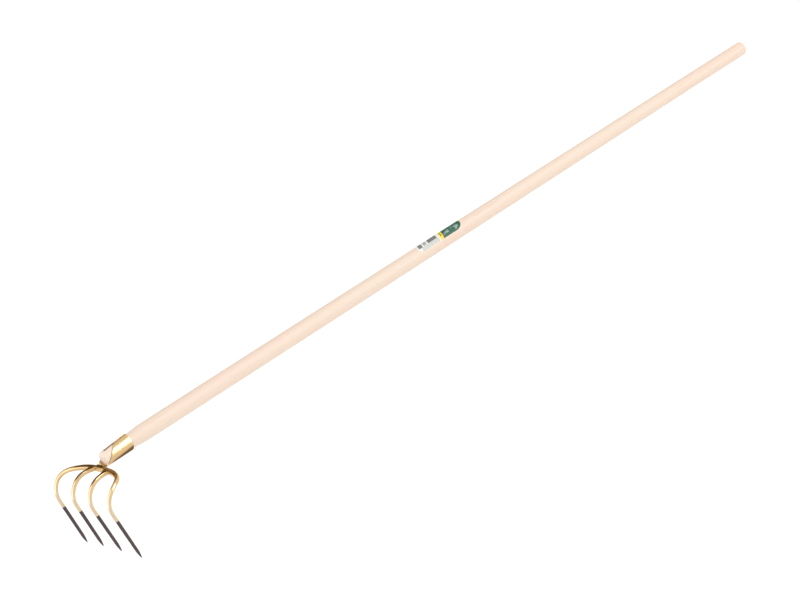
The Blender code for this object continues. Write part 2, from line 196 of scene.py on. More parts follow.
class StageSettings(bpy.types.PropertyGroup):
    camera_place: bpy.props.FloatVectorProperty(
        name="Camera place", description="Where the photographer stands", subtype="TRANSLATION",
        default=(8.19259421, -4.25521376, 4.00218327), precision=6)
    camera_turn: bpy.props.FloatVectorProperty(
        name="Camera turn", description="Camera's rotation", subtype="EULER",
        default=(math.radians(64.240710), math.radians(24.416472), math.radians(51.690984)))
    lens: bpy.props.FloatProperty(
        name="Lens", description="Focal length in millimetres", default=242.35068)
    camera_shift: bpy.props.FloatVectorProperty(
        name="Camera shift", description="Shift of the picture, as shares of its width", size=2,
        default=(-0.000275, 0.000425))
    floor_colour: bpy.props.FloatVectorProperty(
        name="Floor", description="Plain pale floor", subtype="COLOR",
        default=(0.36, 0.36, 0.36), min=0, max=1)
    floor_glow: bpy.props.FloatProperty(
        name="Floor glow", description="Light that comes up through the floor", default=0.70)
    room_strength: bpy.props.FloatProperty(
        name="Room", description="Brightness of the white room", default=1.12)
    far_wall: bpy.props.FloatVectorProperty(
        name="Far wall", description="Unlit wall behind the head", subtype="COLOR",
        default=(0.26, 0.20, 0.135), min=0, max=1)
    box_power: bpy.props.FloatProperty(
        name="Soft box", description="Power of the soft box on the right",
        default=225.0, unit="POWER")
    fill_power: bpy.props.FloatProperty(
        name="Fill light", description="Power of the fill light on the right",
        default=24.0, unit="POWER")
    card_power: bpy.props.FloatProperty(
        name="Bounce card", description="Power that the card beside the tines gives back",
        default=1.2, unit="POWER")


# Clearances and small sizes that nobody changes

FIT_GAP = 0.0003

# the nose: where it begins, and how it swells to stand proud of the sheet in the opening
NOSE_CLEARANCE = 0.0072
NOSE_SWELL = 0.0004
SWELL_START_ANGLE = 0.05
SWELL_ANGLE = 0.20
SWELL_INNERMOST = 0.001

# the rolled sheet, from the strap's seat on the bow bar to both edges of the V
NECK_DROP = 0.0036
STRAP_SEAT = 0.0015
STRAP_LENGTH = 0.0020
STRAP_TURN = math.radians(20)
STRAP_HALF_ANGLE = math.radians(40)
STRAP_FILLET_ANGLE = math.radians(5)
CUT_ANGLE = math.radians(150)
LEFT_CUT_LENGTH = 0.0135
LEFT_CUT_POWER = 4.0
LEFT_FLARE_ANGLE = math.radians(37)
SHEET_EDGE_RADIUS = 0.00035
SHEET_EDGE_ANGLE = math.radians(50)

# the bow bar, its boss and the outer tines
OUTER_TIP_HALF_WIDTH = 0.0943
OUTER_FLAT_LENGTH = 0.1903
OUTER_BEND_START = 0.0183
BAR_FLAT_HALF_WIDTH = 0.040
BOSS_LENGTH = 0.022
BOSS_RISE = 0.0025
BOSS_RAMP = 0.007

# the inner tines
INNER_ROOT_OFFSET = 0.0232
INNER_SHOULDER_OFFSET = 0.0285
INNER_SHOULDER = 0.0493
INNER_TIP_OFFSET = 0.0316
INNER_FLAT_LENGTH = 0.1875
INNER_BEND_START = 0.0196
ROOT_FLARE = 0.0090
ROOT_FLARE_LENGTH = 0.014

# the points, whose tips are rounded off in steps that get shorter
FORGE_STEP = 0.0020
POINT_LENGTH = 0.019
POINT_START_DIAMETER = 0.0061
POINT_DIAMETER = 0.0016
POINT_POWER = 1.8
POINT_ROUNDING = 0.0008
POINT_ROUNDNESS = 0.96
POINT_STEPS = (1.0, 0.7, 0.45, 0.25, 0.1, 0.02, 0.0)

# the dips: each pair is a place across the head and how far the line is lifted to the left of it
DIP_LIFTS = ((-0.06, 0.0032), (0.0, 0.0051), (0.06, 0.0045), (1.0, 0.0035))
DIP_DIAMETER = 0.0069
DIP_TAPER_LENGTH = 0.020
DIP_LIP_HEIGHT = 0.0004
DIP_FIRST_RING = 0.004
UNDER_DIP_START = 0.002
UNDER_DIP_SHARE = 1.5

# the weld beads
CORNER_BEAD_RADIUS = 0.0018
CORNER_BEAD_LENGTH = 0.006
NECK_BEAD_RADIUS = 0.0021
NECK_BEAD_LIFT = 0.0004
NECK_BEAD_SETBACK = 0.0005
RIPPLE_DEPTH = 0.10
RIPPLE_LENGTH = 0.55

# the nail
NAIL_SETBACK = 0.020
NAIL_HEAD_RADIUS = 0.0040
NAIL_HEAD_HEIGHT = 0.0022
NAIL_HEAD_EDGE = 0.0002
NAIL_SHANK_RADIUS = 0.0017
NAIL_LENGTH = 0.024
NAIL_POINT_START = 0.0206
NAIL_POINT_RADIUS = 0.0002

# the label
LABEL_HALF_ANGLE = math.radians(64)
LABEL_THICKNESS = 0.00015
LABEL_CORNER = 0.007
LABEL_CROWN = 0.017
LABEL_SLANT = 0.09
LABEL_SLANT_PIVOT = 0.75

# where the lacquer has drained off, where dark reflection and shade are painted on the head, and
# where shade is painted on the wood under the seam, as places in the tool's own frame
DRAINED_HEIGHTS = (-0.016, -0.050)
TOPS_DIRECTION = (0.0, -0.34, 0.94)
TOPS_POSITIONS = (0.0085, 0.0055)
TOPS_HEIGHTS = (-0.022, -0.0165)
TOPS_SIDES = (0.074, 0.058)
DARK_UNDERSIDE_ANGLE = math.radians(165)
DARK_UNDERSIDE_FOOT, DARK_UNDERSIDE_RIM = 0.020, 0.0707
DARK_UNDERSIDE_POSITIONS = (0.012, 0.030)
EDGE_SHADE_TURN = 0.14
EDGE_SHADE_POSITIONS = (0.012, 0.018)
EDGE_SHADE_END = 0.006
SEAM_SHADE_WIDTHS = (0.0022, 0.0010)
SEAM_SHADE_FADE = 0.006

# colours that nobody changes
# pale colour of the nose, used for the painted light on its end face
PALE_NOSE_WOOD = (0.98, 0.83, 0.72)
# colour of the painted shade on the wood under the seam
SEAM_SHADE_WOOD = (0.16, 0.085, 0.03)
LACQUER_GLINT = (1.0, 0.84, 0.62)
WORN_STEEL = (0.62, 0.61, 0.60)
DULL_STEEL = (0.40, 0.38, 0.35)
BROWN_INK = (0.34, 0.24, 0.02)
LEAF_GREEN = (0.50, 0.64, 0.57)
WHITE = (1.0, 1.0, 1.0)

# the studio: the lights stand off from the origin, and two of them are turned to the middle
ROOM_MIDDLE = Vector((0.0, -0.6, 0.1))
LIGHT_DISTANCE = 4.5
BOX_DIRECTION = Vector((0.73, 0.38, 0.57))
FILL_DIRECTION = Vector((0.70, 0.43, 0.57))
CARD_OFFSET = Vector((-0.09, -0.34, 0.2))
FAR_WALL_DIRECTION = (-0.956, 0.292, 0.0)


# Where the tool lies

end_face = frame["record"]["mounts"][0]
handle_axis = Vector(end_face["axis"]).normalized()
tilt = math.atan2(handle_axis.z, handle_axis.y)


def settings():
    return bpy.context.scene.manure_drag


def bow_height():
    socket = settings().socket
    return STRAP_SEAT - NECK_DROP - socket.neck_radius


def nose_start():
    return settings().head.bar_width / 2 + NOSE_CLEARANCE


def neck_end():
    return settings().head.bar_width / 2 + FIT_GAP


def notch_end():
    return neck_end() + STRAP_LENGTH


def rim_position():
    return neck_end() + settings().socket.length


def seam_end():
    return rim_position() - settings().socket.seam_length


def handle_end():
    return nose_start() + settings().handle.length


def tool_place():
    """World place of the tool's own frame, read off the handle's flat top end."""
    origin = Vector(end_face["pos_m"]) - handle_axis * handle_end()
    return Matrix.Translation(origin) @ Matrix.Rotation(tilt, 4, "X")


def clamped(share):
    return min(max(share, 0.0), 1.0)


def blend(start, end, share):
    """From start to end as the share goes from 0 to 1, eased at both."""
    share = clamped(share)
    return start + (end - start) * share * share * (3 - 2 * share)


# Modelling with Blender's own tools

def start_fresh():
    """Leave edit mode and deselect everything."""
    if bpy.context.object is not None and bpy.context.object.mode != "OBJECT":
        bpy.ops.object.mode_set(mode="OBJECT")
    bpy.ops.object.select_all(action="DESELECT")


def pick(piece):
    start_fresh()
    piece.select_set(True)
    bpy.context.view_layer.objects.active = piece


def named_piece(name):
    """The piece that has just been added, under its name."""
    piece = bpy.context.object
    piece.name = name
    piece.data.name = name
    return piece


def shape_ring(piece, ring):
    """Lay the selected corners, in the order in which they were made, on a ring of places."""
    cage = bmesh.from_edit_mesh(piece.data)
    cage.verts.index_update()
    corners = [corner for corner in cage.verts if corner.select]
    for corner, place in zip(corners, ring, strict=True):
        corner.co = place
    bmesh.update_edit_mesh(piece.data)


def draw_out(name, rings):
    """Draw a bar out of a disc: every ring is extruded from the one before and shaped."""
    start_fresh()
    bpy.ops.mesh.primitive_circle_add(vertices=len(rings[0]), radius=0.01, fill_type="NGON")
    bar = named_piece(name)
    bpy.ops.object.mode_set(mode="EDIT")
    bpy.ops.mesh.select_all(action="SELECT")
    shape_ring(bar, rings[0])
    for ring in rings[1:]:
        bpy.ops.mesh.extrude_region_move()
        shape_ring(bar, ring)
    turn_outward()
    return bar


def turn_outward():
    """Turn all faces of the piece in edit mode outwards, and leave edit mode."""
    bpy.ops.mesh.select_all(action="SELECT")
    bpy.ops.mesh.normals_make_consistent(inside=False)
    bpy.ops.object.mode_set(mode="OBJECT")


def turn_on_lathe(name, rows, sides):
    """Turn a piece about the Y direction from rows of position, radius and height."""
    start_fresh()
    position, radius, height = rows[0]
    bpy.ops.mesh.primitive_circle_add(
        vertices=sides, radius=radius, fill_type="NGON",
        location=(0.0, position, height), rotation=(math.pi / 2, 0.0, 0.0))
    piece = named_piece(name)
    bpy.ops.object.transform_apply(location=True, rotation=True, scale=True)
    bpy.ops.object.mode_set(mode="EDIT")
    bpy.ops.mesh.select_all(action="SELECT")
    for next_position, next_radius, next_height in rows[1:]:
        step = (0.0, next_position - position, next_height - height)
        bpy.ops.mesh.extrude_region_move(TRANSFORM_OT_translate={"value": step})
        ratio = next_radius / radius
        centre = (0.0, next_position, next_height)
        bpy.ops.transform.resize(value=(ratio, 1.0, ratio), center_override=centre)
        position, radius, height = next_position, next_radius, next_height
    turn_outward()
    return piece


def apply_all(piece):
    pick(piece)
    for modifier in list(piece.modifiers):
        bpy.ops.object.modifier_apply(modifier=modifier.name)


def lay_in_place(piece, smooth_angle=math.radians(35)):
    """Shade the piece and put its place into its mesh."""
    pick(piece)
    bpy.ops.object.shade_smooth_by_angle(angle=smooth_angle)
    piece.matrix_world = tool_place()
    bpy.ops.object.transform_apply(location=True, rotation=True, scale=True)


def finish_piece(piece, slot, *nodes):
    """Dress the piece in its slot's finish, and let it stand for its nodes of the frame."""
    piece.data.materials.clear()
    piece.data.materials.append(finish_named(slot))
    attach(piece, "root")
    if nodes:
        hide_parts(*nodes)


# Forms shared by the handle and the socket

def socket_share(position):
    """0 where the V ends at the strap and 1 at the rim."""
    return (position - notch_end()) / (rim_position() - notch_end())


def socket_radius(position):
    socket = settings().socket
    return socket.neck_radius + (socket.rim_radius - socket.neck_radius) * socket_share(position)


def socket_height(position):
    return -NECK_DROP * (1 - socket_share(position))


def strap_sides():
    """Turn from the seam to the strap's right side and to its left one."""
    lean = STRAP_TURN - settings().socket.seam_turn
    return math.pi - STRAP_HALF_ANGLE + lean, math.pi - STRAP_HALF_ANGLE - lean


def sheet_start(angle):
    """Where the sheet begins at an angle from the seam.

    Its right corner is cut away in a long slant. Its left edge is almost straight and ends in
    a step, from which it flares into the strap.
    """
    right_side, left_side = strap_sides()
    from_left = 2 * math.pi - angle
    if from_left < left_side + STRAP_FILLET_ANGLE:
        cut = LEFT_CUT_LENGTH * (1 - min(from_left / left_side, 1.0) ** LEFT_CUT_POWER)
        flare_start = left_side + STRAP_FILLET_ANGLE - LEFT_FLARE_ANGLE
        return blend(notch_end() + cut, neck_end(), (from_left - flare_start) / LEFT_FLARE_ANGLE)
    slant = seam_end() - notch_end()
    cut = slant * (1 - min(angle / CUT_ANGLE, 1.0))
    return blend(notch_end() + cut, neck_end(), (angle - right_side) / STRAP_FILLET_ANGLE)


def open_margin(angle, position):
    """How far inside the socket's opening a place on the wood lies, as an angle."""
    left_side = strap_sides()[1]
    from_notch = position - notch_end()
    right_edge = CUT_ANGLE * clamped(1 - from_notch / (seam_end() - notch_end()))
    left_edge = left_side * clamped(1 - from_notch / LEFT_CUT_LENGTH) ** (1 / LEFT_CUT_POWER)
    left_edge = min(left_edge, left_side - LEFT_FLARE_ANGLE / 2)
    return min(right_edge - angle, left_edge + angle)


def nose_radius(position):
    return socket_radius(position) - settings().socket.sheet - FIT_GAP


def handle_radius(position):
    """Radius behind the rim, where the shoulder swells out from the nose."""
    handle = settings().handle
    socket = settings().socket
    at_rim = socket.rim_radius - socket.sheet - FIT_GAP
    taper_start = rim_position() + handle.straight_length
    tapered = max(position - taper_start, 0.0) / (handle_end() - taper_start)
    taken_off = (handle.body_diameter - handle.top_diameter) * tapered ** handle.taper_power
    radius = (handle.body_diameter - taken_off) / 2
    return blend(at_rim, radius, (position - rim_position()) / handle.shoulder_length)


def polar(angle, radius, position, height):
    """Place at an angle from the top, turned towards the right, round the handle's direction."""
    return Vector((radius * math.sin(angle), position, height + radius * math.cos(angle)))


def handle_rows():
    """Position, radius and height of the turned rings from the nose to the top end."""
    handle = settings().handle
    rounding_steps = 8
    rows = []
    for step in range(rounding_steps + 1):
        angle = math.pi / 2 * step / rounding_steps
        position = nose_start() + handle.nose_rounding * (1 - math.cos(angle))
        radius = nose_radius(position) - handle.nose_rounding * (1 - math.sin(angle))
        rows.append((position, radius, socket_height(position)))
    stretches = (
        (rim_position(), 30), (rim_position() + handle.shoulder_length, 14),
        (handle_end() - handle.top_rounding, 60))
    position = nose_start() + handle.nose_rounding
    for end, steps in stretches:
        start = position
        for step in range(1, steps + 1):
            position = start + (end - start) * step / steps
            if position <= rim_position():
                rows.append((position, nose_radius(position), socket_height(position)))
            else:
                rows.append((position, handle_radius(position), 0.0))
    for step in range(1, rounding_steps + 1):
        angle = math.pi / 2 * step / rounding_steps
        position = handle_end() - handle.top_rounding * (1 - math.sin(angle))
        radius = handle_radius(position) - handle.top_rounding * (1 - math.cos(angle))
        rows.append((position, radius, 0.0))
    return rows


# Forms of the forged bars

def heading(path, index):
    """Direction of a path at one of its places."""
    before = path[max(index - 1, 0)]
    after = path[min(index + 1, len(path) - 1)]
    return (after - before).normalized()


def bar_ring(centre, along, up, width, thickness, edge):
    """Section of a bar across its run: four flats, with edges rounded in small steps."""
    across = along.cross(up).normalized()
    upward = across.cross(along).normalized()
    edge = min(edge, width / 2, thickness / 2)
    corner_steps = 6
    ring = []
    for quarter in range(4):
        for step in range(corner_steps):
            angle = math.pi / 2 * (quarter + (step + 0.5) / corner_steps)
            side = math.copysign(width / 2 - edge, math.cos(angle)) + edge * math.cos(angle)
            rise = math.copysign(thickness / 2 - edge, math.sin(angle)) + edge * math.sin(angle)
            ring.append(centre + across * side + upward * rise)
    return ring


def bar_rings(stations, shrink):
    """Rings of a bar, taken in by what shrink gives for each centre."""
    centres = [station[0] for station in stations]
    rings = []
    for index, (centre, up, wide, thick, edge) in enumerate(stations):
        less = 2 * shrink(centre)
        along = heading(centres, index)
        rings.append(bar_ring(centre, along, up, wide - less, thick - less, edge - less / 2))
    return rings


def even_path(points, length):
    """Points at equal steps of about a length along a densely sampled path."""
    lengths = [0.0]
    for first, second in zip(points, points[1:]):
        lengths.append(lengths[-1] + math.dist(first, second))
    steps = max(round(lengths[-1] / length), 1)
    evened = []
    index = 0
    for step in range(steps + 1):
        wanted = lengths[-1] * step / steps
        while index < len(lengths) - 2 and lengths[index + 1] < wanted:
            index += 1
        share = (wanted - lengths[index]) / (lengths[index + 1] - lengths[index])
        evened.append(tuple(a + (b - a) * share for a, b in zip(points[index], points[index + 1])))
    return evened


def bow_reach(mirror):
    """Middle of the handle to one side of the bow."""
    head = settings().head
    return head.bow_half_width + mirror * head.bow_offset


def bow_power(mirror):
    """2 is an ellipse and more is squarer; the right shoulder is forged squarer than the left."""
    head = settings().head
    return head.bow_fullness + mirror * head.fullness_offset


def flat_outer_path(mirror):
    """One half of the bow bar, laid out flat: round the bow, then straight to the tip."""
    head = settings().head
    samples = 400
    curve = []
    for step in range(samples + 1):
        angle = math.pi / 2 * step / samples
        side = bow_reach(mirror) * math.sin(angle) ** (2 / bow_power(mirror))
        forward = head.bow_depth * (1 - max(math.cos(angle), 0.0) ** (2 / bow_power(mirror)))
        curve.append((side, forward))
    return forged_path(curve, (OUTER_TIP_HALF_WIDTH, OUTER_FLAT_LENGTH))


def forged_path(curve, tip):
    """Even steps along a curve and on to a tip, with shorter ones where the tip is rounded off."""
    path = even_path(curve + [tip], FORGE_STEP)
    before = Vector(path[-2])
    end = Vector(path.pop())
    along = (end - before).normalized()
    for left in POINT_STEPS:
        path.append(tuple(end - along * POINT_ROUNDING * left))
    return path


def inner_side(forward):
    """Sideways place of an inner tine, which sweeps outwards as far as its shoulder."""
    to_shoulder = 1 - forward / INNER_SHOULDER
    return INNER_SHOULDER_OFFSET - (INNER_SHOULDER_OFFSET - INNER_ROOT_OFFSET) * to_shoulder ** 2


def flat_inner_path():
    """Right inner tine, laid out flat: a slight sweep outwards, then straight to the tip."""
    samples = 200
    curve = []
    for step in range(samples + 1):
        forward = INNER_SHOULDER * step / samples
        curve.append((inner_side(forward), forward))
    return forged_path(curve, (INNER_TIP_OFFSET, INNER_FLAT_LENGTH))


def bend_down(side, forward, bend_start):
    """Place and up direction of a flat point once the tines are bent over the former."""
    head = settings().head
    radius = head.bend_radius
    bend_length = radius * head.bend_angle
    angle = min(max(forward - bend_start, 0.0), bend_length) / radius
    beyond = max(forward - bend_start - bend_length, 0.0)
    reach = min(forward, bend_start) + radius * math.sin(angle) + beyond * math.cos(head.bend_angle)
    height = bow_height() - radius * (1 - math.cos(angle)) - beyond * math.sin(head.bend_angle)
    return Vector((side, -reach, height)), Vector((0.0, -math.sin(angle), math.cos(angle)))


def tine_section(forward, flat_length, bend_start, width, thickness):
    """Width, thickness and edge radius of a tine at a distance along its flat layout.

    The flat bar becomes round as it bends down. Below the bend it tapers into the dip, and then
    to its point.
    """
    head = settings().head
    bend_end = bend_start + head.bend_radius * head.bend_angle
    rounding = forward / bend_end
    wide = blend(width, head.round_diameter, rounding)
    thick = blend(thickness, head.round_diameter, rounding)
    edge = blend(head.bar_edge_radius, head.round_diameter / 2, rounding)
    if forward > bend_end:
        point_from = flat_length - POINT_LENGTH
        share = min((forward - bend_end) / (point_from - bend_end), 1.0)
        wide = DIP_DIAMETER + (POINT_START_DIAMETER - DIP_DIAMETER) * share
        wide = blend(head.round_diameter, wide, (forward - bend_end) / DIP_TAPER_LENGTH)
        if forward > point_from:
            share = min((forward - point_from) / POINT_LENGTH, 1.0)
            narrower = (POINT_DIAMETER - POINT_START_DIAMETER) * share ** POINT_POWER
            wide = POINT_START_DIAMETER + narrower
            rounded = min(max(flat_length - forward, 0.0) / POINT_ROUNDING, 1.0)
            wide *= math.sqrt(1 - (1 - rounded) ** 2 * POINT_ROUNDNESS)
        thick = wide
        edge = wide / 2
    return wide, thick, edge


def outer_stations():
    """Centre, up direction and section along the bow bar, from the left tip to the right one."""
    head = settings().head
    stations = []
    for mirror, stretch in ((-1, flat_outer_path(-1)[:0:-1]), (1, flat_outer_path(1))):
        for side, forward in stretch:
            wide, thick, edge = tine_section(
                forward, OUTER_FLAT_LENGTH, OUTER_BEND_START, head.bar_width, head.bar_thickness)
            rounded = (side - BAR_FLAT_HALF_WIDTH) / (head.bow_half_width - BAR_FLAT_HALF_WIDTH)
            edge = max(blend(head.bar_edge_radius, head.bar_thickness / 2, rounded), edge)
            rise = blend(BOSS_RISE, 0.0, (side - BOSS_LENGTH / 2) / BOSS_RAMP)
            centre, up = bend_down(side * mirror, forward, OUTER_BEND_START)
            stations.append((centre + up * rise / 2, up, wide, thick + rise, edge))
    return stations


def root_spread(forward):
    """How much wider an inner tine is near its root."""
    from_bow = max(forward - settings().head.bar_width / 2, 0.0)
    return ROOT_FLARE * max(1 - from_bow / ROOT_FLARE_LENGTH, 0.0) ** 2


def inner_stations(mirror):
    """Centre, up direction and section along an inner tine, from its root to its tip."""
    head = settings().head
    stations = []
    for side, forward in flat_inner_path():
        wide, thick, edge = tine_section(
            forward, INNER_FLAT_LENGTH, INNER_BEND_START, head.inner_width, head.inner_thickness)
        centre, up = bend_down(side * mirror, forward, INNER_BEND_START)
        stations.append((centre, up, wide + root_spread(forward), thick, edge))
    return stations


# Materials

def new_material(name):
    material = bpy.data.materials.new(name)
    material.use_nodes = True
    return material, Finish(material.node_tree, "Principled BSDF")


class Finish:
    """Small helper that lays nodes and joins them. Colours are given as three numbers."""

    def __init__(self, tree, shader):
        self.tree = tree
        self.shader = tree.nodes[shader]

    def lay(self, kind, inputs=None, **options):
        node = self.tree.nodes.new(kind)
        for name, value in options.items():
            setattr(node, name, value)
        for name, value in (inputs or {}).items():
            self.give(node.inputs[name], value)
        return node

    def give(self, inlet, value):
        """Join a socket to what is laid, or set it."""
        if isinstance(value, bpy.types.NodeSocket):
            self.tree.links.new(value, inlet)
        elif inlet.type == "RGBA":
            inlet.default_value = (*value, 1.0)
        else:
            inlet.default_value = value

    def wear(self, looks):
        """Join or set the shader's own sockets."""
        for name, value in looks.items():
            self.give(self.shader.inputs[name], value)

    def math(self, operation, first, second=0.5, third=0.5):
        inputs = {0: first, 1: second, 2: third}
        return self.lay("ShaderNodeMath", inputs, operation=operation).outputs[0]

    def times(self, first, *others):
        for other in others:
            first = self.math("MULTIPLY", first, other)
        return first

    def plus(self, base, value, share):
        """The base and a share of the value."""
        return self.math("MULTIPLY_ADD", value, share, base)

    def dot(self, first, second):
        inputs = {0: first, 1: second}
        return self.lay("ShaderNodeVectorMath", inputs, operation="DOT_PRODUCT").outputs["Value"]

    def direction(self, vector, kept):
        """Direction of a vector without the parts that kept leaves out."""
        flat = self.lay("ShaderNodeVectorMath", {0: vector, 1: kept}, operation="MULTIPLY")
        inputs = {0: flat.outputs[0]}
        return self.lay("ShaderNodeVectorMath", inputs, operation="NORMALIZE").outputs[0]

    def parts(self, vector):
        return self.lay("ShaderNodeSeparateXYZ", {0: vector}).outputs

    def mix(self, share, first, second):
        node = self.lay("ShaderNodeMix", data_type="RGBA")
        self.give(node.inputs["Factor"], share)
        self.give(node.inputs[6], first)
        self.give(node.inputs[7], second)
        return node.outputs[2]

    def stretch(self, vector, scale, location=(0.0, 0.0, 0.0)):
        inputs = {"Vector": vector, "Scale": scale, "Location": location}
        return self.lay("ShaderNodeMapping", inputs).outputs[0]

    def noise(self, vector, scale, detail, roughness):
        inputs = {"Vector": vector, "Scale": scale, "Detail": detail, "Roughness": roughness}
        return self.lay("ShaderNodeTexNoise", inputs).outputs["Fac"]

    def streaks(self, vector, scale, detail, roughness):
        """Noise that is finer one way than another."""
        return self.noise(self.stretch(vector, scale), 1.0, detail, roughness)

    def ramp(self, value, stops):
        node = self.lay("ShaderNodeValToRGB", {"Fac": value})
        points = node.color_ramp.elements
        while len(points) < len(stops):
            points.new(1.0)
        for point, (position, level) in zip(points, stops):
            point.position = position
            point.color = (level, level, level, 1.0)
        return node.outputs["Color"]

    def between(self, value, low, high):
        """0 at the low value and 1 at the high one, eased at both."""
        inputs = {"Value": value, "From Min": low, "From Max": high}
        return self.lay("ShaderNodeMapRange", inputs, interpolation_type="SMOOTHSTEP").outputs[0]

    def graded(self, value, low, high, at_low=0.0, at_high=1.0):
        """One level at the low value and one at the high one, evenly graded between them."""
        inputs = {
            "Value": value, "From Min": low, "From Max": high, "To Min": at_low, "To Max": at_high}
        return self.lay("ShaderNodeMapRange", inputs).outputs[0]

    def bump(self, height, strength, distance, under=None):
        inputs = {"Height": height, "Strength": strength, "Distance": distance}
        if under is not None:
            inputs["Normal"] = under
        return self.lay("ShaderNodeBump", inputs).outputs["Normal"]

    def tool_coordinates(self):
        """Object coordinates turned into the tool's own frame."""
        place = tool_place()
        coordinates = self.lay("ShaderNodeTexCoord").outputs["Object"]
        inputs = {
            "Vector": coordinates, "Location": place.to_translation(), "Rotation": place.to_euler()}
        return self.lay("ShaderNodeMapping", inputs, vector_type="TEXTURE").outputs[0]

    def facing(self, direction):
        """1 where the surface looks in a direction of the tool's own frame."""
        normal = self.lay("ShaderNodeTexCoord").outputs["Normal"]
        return self.dot(normal, tool_place().to_3x3() @ Vector(direction))


def ash_wood():
    """Ash with long growth rings and rows of pores, with painted shade under the seam and painted
    light on the nose.
    """
    handle = settings().handle
    socket = settings().socket
    material, finish = new_material("ash wood")
    place = finish.tool_coordinates()
    position, height = finish.parts(place)[1:]
    # growth rings round a pith that lies outside the blank, so they run as long lines
    rings = finish.lay(
        "ShaderNodeTexWave",
        {"Vector": finish.stretch(place, (1.0, 0.035, 1.0), location=(0.034, 0.0, 0.047)),
         "Scale": 0.3142 / handle.ring_width, "Distortion": 5.0,
         "Detail": 2.0, "Detail Scale": 0.35, "Detail Roughness": 0.5},
        wave_type="RINGS", rings_direction="Y", wave_profile="SAW").outputs["Fac"]
    early = finish.ramp(rings, ((0.0, 1.0), (0.16, 0.75), (0.42, 0.1), (1.0, 0.0)))
    pores = finish.streaks(place, (1500.0, 38.0, 1500.0), 2.0, 0.6)
    pores = finish.times(finish.ramp(pores, ((0.0, 0.0), (0.52, 0.0), (0.66, 1.0))), early)
    fibres = finish.streaks(place, (2600.0, 30.0, 2600.0), 3.0, 0.6)
    clouds = finish.streaks(place, (22.0, 3.2, 22.0), 2.0, 0.5)
    cast = finish.ramp(clouds, ((0.35, 0.0), (0.68, 1.0)))
    colour = finish.mix(cast, handle.pale_wood, handle.warm_wood)
    colour = finish.mix(finish.times(early, 0.16), colour, handle.pore_wood)
    colour = finish.mix(finish.times(pores, 0.45), colour, handle.pore_wood)
    # painted shade on the wood under the seam, darkening it as the gap between the sheet's edges
    # would
    rim = rim_position()
    across_seam = (math.cos(socket.seam_turn), 0.0, -math.sin(socket.seam_turn))
    from_seam = finish.math("ABSOLUTE", finish.dot(place, across_seam))
    seam_shade = finish.times(
        finish.between(from_seam, *SEAM_SHADE_WIDTHS),
        finish.between(height, 0.0, 0.004),
        finish.between(position, rim + 0.0002, rim - 0.001),
        finish.between(position, seam_end(), seam_end() + SEAM_SHADE_FADE))
    colour = finish.mix(finish.times(seam_shade, 0.85), colour, SEAM_SHADE_WOOD)
    # painted light on the nose's end face, and the wood in the opening grows paler towards the nose
    nose_light = finish.between(finish.facing((0.0, -1.0, 0.0)), 0.45, 0.95)
    paler_in_opening = finish.times(finish.between(position, rim - 0.010, rim - 0.030), 0.15)
    colour = finish.mix(finish.math("MAXIMUM", nose_light, paler_in_opening), colour, PALE_NOSE_WOOD)
    shade = finish.plus(0.94, fibres, 0.12)
    relief = finish.plus(fibres, pores, -0.9)
    waves = finish.streaks(place, (30.0, 9.0, 30.0), 1.0, 0.4)
    shaded = finish.lay("ShaderNodeHueSaturation", {"Color": colour, "Value": shade})
    finish.wear({
        "Base Color": shaded.outputs[0],
        "Roughness": finish.plus(0.44, fibres, 0.18),
        "Specular IOR Level": 0.35,
        "Normal": finish.bump(relief, 0.30, 0.00012, finish.bump(waves, 0.25, 0.002))})
    return material


